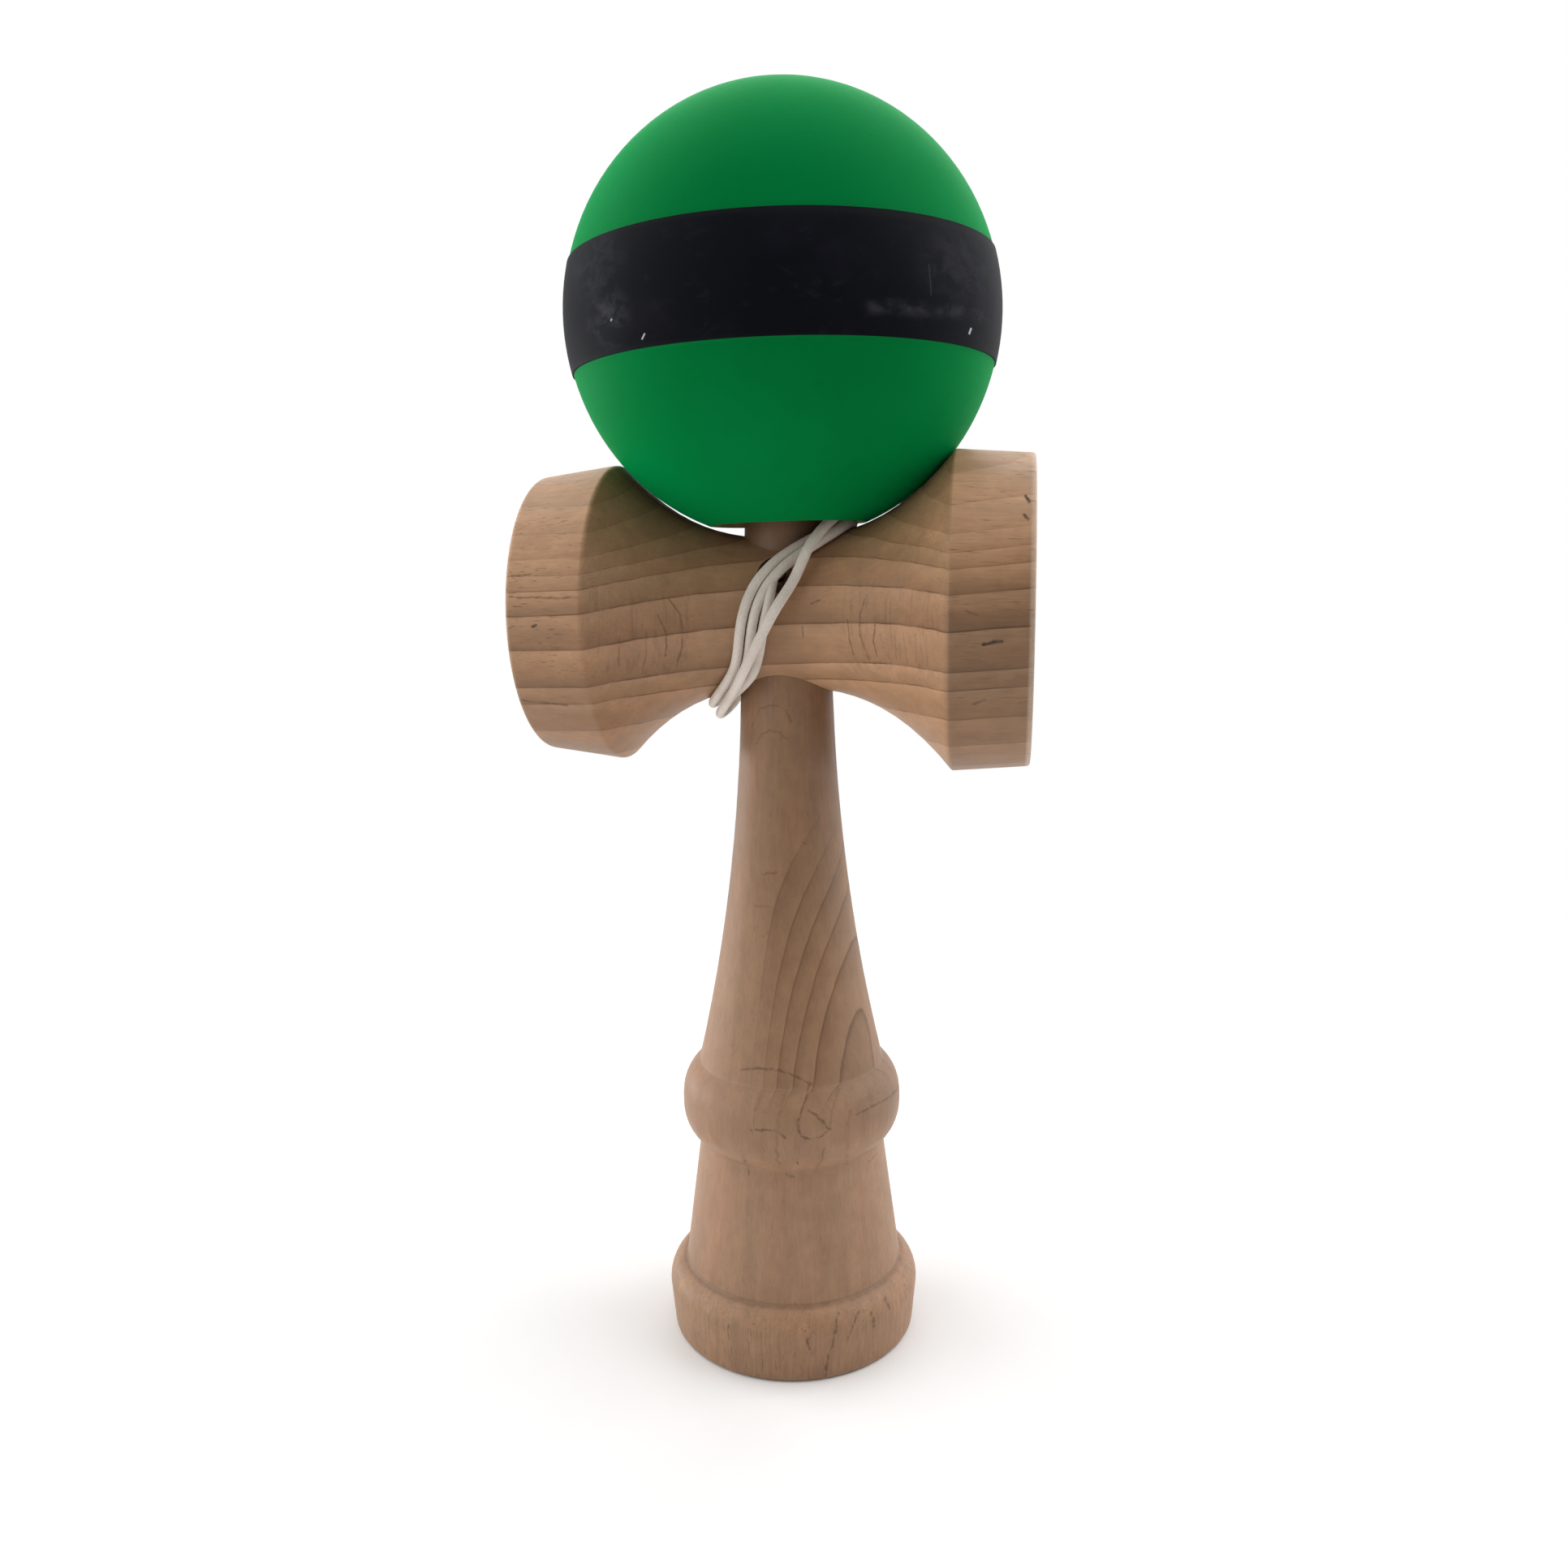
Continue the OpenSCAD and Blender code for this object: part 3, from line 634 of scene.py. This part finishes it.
def ken_wood():
    net = Net("ken_wood")
    where = net.mm()
    x, y, z = net.split(where)
    # Number of the growth ring: a field fitted to the lines on the right of the shaft, t in cm from z = 60 mm
    t = net.mul(net.math("SUBTRACT", z, 60), 0.1)
    tt = net.mul(t, t)
    u = net.add(net.mul(x, 0.40325), net.mul(y, -0.08378), net.mul(t, 0.79749), net.mul(x, t, -0.09364),
                net.mul(y, t, 0.13831), net.mul(tt, -0.2451), net.mul(x, tt, -0.03602), net.mul(y, tt, 0.00466),
                net.mul(tt, t, 0.0493), 97.95,
                net.swing(where, (0.12, 0.12, 0.03), 0.12), net.swing(where, (0.7, 0.7, 0.12), 0.035))
    part = net.math("FRACT", u)
    which = net.pick(u)
    fine_line = net.ramp(part, [(0, 1.0), (0.04, 0.4), (0.1, 0.0), (0.965, 0.0), (0.995, 1.0)])
    body = net.ramp(part, [(0, 0.6), (0.1, 0.45), (0.4, 0.24), (0.9, 0.0), (0.96, 0.02), (0.995, 0.5)])
    # The rings show on the middle and right of the shaft, and fade below the bead ring and towards the crosspiece
    clear = net.mul(net.span(z, 39.4, 44.5, 0.07, 0.9), net.span(z, 85, 66), net.span(x, -4.5, 1.5, 0.1, 1.0))
    dark = net.mul(net.add(net.mul(body, net.span(which, 0, 1, 0.7, 1.1, "LINEAR")), net.mul(fine_line, 0.4)), clear)
    colour = net.ramp(dark, KEN_TONES)
    # Lightness along the height, with painted shade on the spike under the ball
    colour = net.shade(colour, net.ramp(net.mul(z, 1 / KEN_HEIGHT), KEN_LIGHT))
    # Darker high on the right of the shaft and on the right of the bead ring
    right_darkening = net.add(net.mul(net.span(x, 0.5, 5.5), net.span(z, 74, 92), 0.25),
                    net.mul(net.span(x, 8, 13), net.span(z, 34, 38), net.span(z, 46, 41), 0.16))
    colour = net.shade(colour, net.math("SUBTRACT", 1.0, right_darkening))
    # Greyer below the shaft, less so on the foot
    greyer = net.mul(net.span(z, 52, 34), net.span(z, 8, 13, 0.5, 1.0))
    colour = net.blend(greyer, colour, net.vec("MULTIPLY", colour, (1.0, 1.035, 1.13)))
    # Upright flecks on the side of the foot
    flecks = net.math("SUBTRACT", net.noise(where, (1.9, 1.9, 0.13), 3, 0.6), 0.5)
    colour = net.shade(colour, net.math("MULTIPLY_ADD", net.mul(net.span(z, 11, 10), flecks), 0.5, 1.0))
    # Dirt and painted shade in the corners, in patches
    corner_patches = net.noise(where, (0.6, 0.6, 0.6), 3, 0.6)
    for corner, depth in KEN_CORNERS:
        near = net.span(net.math("ABSOLUTE", net.math("SUBTRACT", z, corner)), 0.5, 0.03)
        colour = net.blend(net.mul(near, corner_patches, depth), colour, CORNER_DIRT_AND_SHADE)
    marks = front_marks(net, where, [(KEN_CRACKS, 0.02, 0.2, 0.36), (KEN_HAIRS, 0.02, 0.4, 0.24),
                                     (KEN_DARK, 0.02, 0.26, 0.58)], 0.85, 0.2)
    wood_finish(net, where, Z_GRAIN, colour, 0.48, net.span(z, 14, 9, 0.4, 1.0), marks, 0.001)
    return net.mat


def bead_wood():
    net = Net("bead_wood")
    where = net.mm()
    x = net.split(where)[0]
    dark = net.math("FRACT", net.add(net.mul(x, 0.8), net.swing(where, (0.3, 0.3, 0.1), 0.5), 50))
    colour = net.ramp(dark, [(0, rgb(176, 144, 112)), (0.8, rgb(196, 166, 134)), (1, rgb(150, 118, 88))])
    wood_finish(net, where, Z_GRAIN, colour, 0.5, net.span(dark, 0, 0.5, 0.5, 1))
    return net.mat


# ---------------------------------------------------------------- paint, rubber, cord
def ball_paint():
    net = Net("ball_paint")
    where = net.vec("SUBTRACT", net.mm(), (0, 0, BALL_Z))
    cloud = net.noise(where, (0.05, 0.05, 0.05), 3, 0.5)
    fine = net.noise(where, (0.9, 0.9, 0.9), 3, 0.6)
    peel = net.noise(where, (1.6, 1.6, 1.6), 2, 0.5)
    colour = net.ramp(cloud, [(0.3, rgb(0, 104, 47)), (0.7, rgb(0, 111, 53))])
    scuff = net.span(net.noise(where, (0.5, 0.5, 2.4), 4, 0.7), 0.68, 0.8)
    colour = net.blend(net.mul(scuff, 0.1), colour, rgb(60, 140, 96))
    # Lighter paint along sharp edges, where it wears
    sharp_edge = net.edge(0.0006)
    colour = net.blend(net.mul(sharp_edge, 0.3), colour, rgb(30, 130, 76))
    # The paint stops at the mouth of the hole: the bevel and the hole are bare wood
    z = net.split(where)[2]
    inside = net.mul(net.span(net.vec("LENGTH", where, out=1), 29.94, 29.78), net.span(z, 10, 0))
    grain = net.noise(where, (0.5, 0.5, 0.05), 3, 0.6)
    bare = net.ramp(grain, [(0.3, rgb(126, 96, 70)), (0.7, rgb(168, 134, 102))])
    net.set("Base Color", net.blend(inside, colour, bare))
    net.set("Roughness", net.add(0.44, net.mul(fine, 0.12), net.mul(scuff, 0.12), net.mul(inside, 0.1)))
    net.set("Specular IOR Level", 0.012)
    net.set("Sheen Weight", 0.52)
    net.set("Sheen Roughness", 0.5)
    net.set("Sheen Tint", rgb(0, 196, 104))
    net.set("Normal", net.bump(net.add(peel, net.mul(cloud, 0.5), net.mul(grain, inside)), 0.00004, 0.35))
    return net.mat


# Marks on the front of the band: points x, z in mm from the ball's middle
BAND_STRIP = [[(15.4, -3.5), (17.5, -3.4), (20.2, -3.4), (23.0, -3.2), (25.8, -2.8), (27.9, -2.6)]]
BAND_SCRATCH = [[(21.5, 1.9), (21.7, 0.0), (21.8, -1.6)]]
BAND_SPECKS = [[(-17.3, -3.5), (-17.2, -3.4)], [(-12.4, -5.7), (-12.8, -6.2)], [(26.4, -4.5), (26.2, -5.1)]]


def band_rubber():
    net = Net("band_rubber")
    where = net.vec("SUBTRACT", net.mm(), (0, 0, BALL_Z))
    _, y, z = net.split(where)
    cloud = net.noise(where, (0.09, 0.09, 0.12), 3, 0.6)
    smear = net.noise(where, (0.3, 0.3, 0.5), 5, 0.62, 0.4)
    fine = net.noise(where, (3.5, 3.5, 3.5), 3, 0.6)
    colour = net.ramp(cloud, [(0.3, rgb(7, 9, 12)), (0.55, rgb(10, 11, 17)), (0.8, rgb(18, 18, 26))])
    front = net.span(y, -2, -4)
    flat = net.vec("MULTIPLY", where, (1, 0, 1))
    # Chalky smudges: a cloud low on the left, a thinner one by it, a strip and a haze on the right
    low = net.span(net.vec("DISTANCE", flat, (-18.0, 0, -3.2), out=1), 5.0, 0.5)
    high = net.span(net.vec("DISTANCE", flat, (-20.0, 0, 3.2), out=1), 7.0, 1.0, 0.0, 0.42)
    haze = net.span(net.vec("DISTANCE", flat, (25.0, 0, 2.5), out=1), 6.5, 1.0, 0.0, 0.4)
    strip = net.mul(strokes(net, flat, BAND_STRIP, 0.05, 1.3), 0.62)
    rubbed = net.math("MAXIMUM", net.math("MAXIMUM", low, high), net.math("MAXIMUM", haze, strip))
    smudge = net.mul(rubbed, net.span(smear, 0.4, 0.64, 0.12, 1.0), front)
    stray = net.mul(net.span(smear, 0.56, 0.8), 0.2)
    colour = net.blend(net.mul(net.math("MAXIMUM", smudge, stray), 0.8), colour, rgb(62, 62, 68))
    grime = net.span(net.math("ABSOLUTE", z), 6.4, 7.3)
    colour = net.blend(net.mul(grime, 0.3), colour, rgb(30, 33, 34))
    scratch = net.mul(strokes(net, flat, BAND_SCRATCH, 0.0, 0.13), front)
    colour = net.blend(net.mul(scratch, 0.2), colour, rgb(92, 93, 98))
    speck = net.mul(strokes(net, flat, BAND_SPECKS, 0.04, 0.12), front)
    colour = net.blend(net.mul(speck, 0.85), colour, rgb(186, 188, 190))
    net.set("Base Color", colour)
    net.set("Roughness", net.add(0.5, net.mul(fine, 0.15), net.mul(smudge, 0.15)))
    net.set("Specular IOR Level", 0.035)
    net.set("Normal", net.bump(net.add(net.mul(fine, 0.5), smear), 0.00003, 0.3))
    return net.mat


def string_cord():
    net = Net("string")
    uv = net.node("ShaderNodeUVMap", uv_map="along").outputs[0]
    along, around, _ = net.split(uv)
    # A fine braid: two sets of strands that wind round the cord in opposite ways
    run, turn = net.mul(along, 1.1), net.mul(around, 4)
    one = net.math("SINE", net.mul(net.add(run, turn), 2 * math.pi))
    two = net.math("SINE", net.mul(net.math("SUBTRACT", run, turn), 2 * math.pi))
    braid = net.math("MAXIMUM", one, two)
    where = net.mm()
    cloud = net.noise(where, (0.2, 0.2, 0.2), 3, 0.6)
    fuzz = net.noise(where, (6, 6, 6), 3, 0.7)
    colour = net.ramp(cloud, [(0.3, rgb(205, 193, 181)), (0.7, rgb(224, 213, 202))])
    colour = net.shade(colour, net.span(braid, -1, 1, 0.95, 1.01, "LINEAR"))
    colour = net.shade(colour, net.span(fuzz, 0.3, 0.7, 0.985, 1.01, "LINEAR"))
    net.set("Base Color", colour)
    net.set("Roughness", net.add(0.62, net.mul(fuzz, 0.15)))
    net.set("Sheen Weight", 0.15)
    net.set("Normal", net.bump(net.add(braid, net.mul(fuzz, 0.5)), 0.00002, 0.2))
    return net.mat


dress("ken", ken_wood())
dress("crosspiece", cross_wood())
dress("ball", ball_paint())
dress("grip_band", band_rubber())
dress("bead", bead_wood())
cord_mat = string_cord()
for piece in (string, ken_knot, ball_knot):
    piece.data.materials.append(cord_mat)


# ---------------------------------------------------------------- floor, light
FLOOR_SIDES, FLOOR_RINGS = 96, (0.25, 1.0, 6.0)
FLOOR_FADE = (150, 330)     # mm from the middle
AMBIENT = 0.02


def seen_rays(tree):
    """1 for what the camera sees, straight, in a reflection or through glass; 0 for the light on other things."""
    path = tree.nodes.new("ShaderNodeLightPath")
    seen = path.outputs["Is Camera Ray"]
    for ray in ("Is Glossy Ray", "Is Transmission Ray"):
        either = tree.nodes.new("ShaderNodeMath")
        either.operation = "MAXIMUM"
        tree.links.new(seen, either.inputs[0])
        tree.links.new(path.outputs[ray], either.inputs[1])
        seen = either.outputs[0]
    return seen


def make_floor():
    mesh = bpy.data.meshes.new("floor")
    n = FLOOR_SIDES
    verts, faces = [(0, 0, 0)], []
    for ring in FLOOR_RINGS:
        verts += [(ring * math.cos(2 * math.pi * k / n), ring * math.sin(2 * math.pi * k / n), 0) for k in range(n)]
    for k in range(n):
        faces.append((0, 1 + k, 1 + (k + 1) % n))
        for i in range(len(FLOOR_RINGS) - 1):
            a, b = 1 + i * n, 1 + (i + 1) * n
            faces.append((a + k, b + k, b + (k + 1) % n, a + (k + 1) % n))
    mesh.from_pydata(verts, [], faces)
    mesh.update()
    floor = bpy.data.objects.new("floor", mesh)
    scene.collection.objects.link(floor)
    net = Net("floor_paper")
    where = net.mm()
    tone = net.noise(where, (0.02, 0.02, 0.02), 3, 0.5)
    net.set("Base Color", net.ramp(tone, [(0.3, rgb(246, 246, 246)), (0.7, rgb(250, 250, 250))]))
    net.set("Roughness", 0.8)
    net.set("Specular IOR Level", 0.1)
    # Far from the object the floor runs into the white background, for what the camera sees
    far = net.span(net.vec("LENGTH", where, out=1), *FLOOR_FADE)
    glow = net.node("ShaderNodeEmission")
    both = net.node("ShaderNodeMixShader")
    net.put(both.inputs[0], net.mul(far, seen_rays(net.tree)))
    net.put(both.inputs[1], net.shader.outputs[0])
    net.put(both.inputs[2], glow.outputs[0])
    net.put(net.out.inputs[0], both.outputs[0])
    mesh.materials.append(net.mat)


def make_world():
    """A little light from all round, and plain white for what the camera sees."""
    world = bpy.data.worlds.new("studio")
    scene.world = world
    world.use_nodes = True
    tree = world.node_tree
    tree.nodes.clear()
    out = tree.nodes.new("ShaderNodeOutputWorld")
    choose = tree.nodes.new("ShaderNodeMixShader")
    tree.links.new(seen_rays(tree), choose.inputs[0])
    for socket, strength in ((choose.inputs[1], AMBIENT), (choose.inputs[2], 1.0)):
        light = tree.nodes.new("ShaderNodeBackground")
        light.inputs[0].default_value = (1, 1, 1, 1)
        light.inputs[1].default_value = strength
        tree.links.new(light.outputs[0], socket)
    tree.links.new(choose.outputs[0], out.inputs[0])


def softbox(name, place, aim, size, power):
    data = bpy.data.lights.new(name, "AREA")
    data.shape = "RECTANGLE"
    data.size, data.size_y = size
    data.energy = power
    lamp = bpy.data.objects.new(name, data)
    scene.collection.objects.link(lamp)
    lamp.location = place
    lamp.rotation_euler = (Vector(aim) - Vector(place)).to_track_quat("-Z", "Y").to_euler()


# Where the lamps point, and each lamp's place, size and power
MIDDLE = (0, 0, 0.1)
LAMPS = {
    "left": ((-0.9, 0, 0.25), (0.8, 0.8), 2.0),
    "left_front": ((-0.65, -0.65, 0.35), (0.8, 0.8), 3.1),
    "left_low": ((-0.9, 0.2, 0.05), (0.8, 0.1), 2.1),
    "right": ((0.9, -0.1, 0.3), (0.8, 0.8), 1.3),
    "right_back": ((0.65, 0.65, 0.35), (0.8, 0.8), 2.2),
    "right_low": ((0.9, 0.2, 0.05), (0.8, 0.1), 0.6),
    "top": ((0, -0.1, 1.0), (0.8, 0.8), 2.7),
    "top_back": ((0, 0.6, 0.8), (0.8, 0.8), 3.3),
    "top_left": ((-0.65, 0.1, 0.75), (0.8, 0.8), 4.1),
    "top_right": ((0.65, 0.1, 0.75), (0.8, 0.8), 5.0),
}
make_floor()
make_world()
for lamp_name, (place, size, power) in LAMPS.items():
    softbox("lamp_" + lamp_name, place, MIDDLE, size, power)
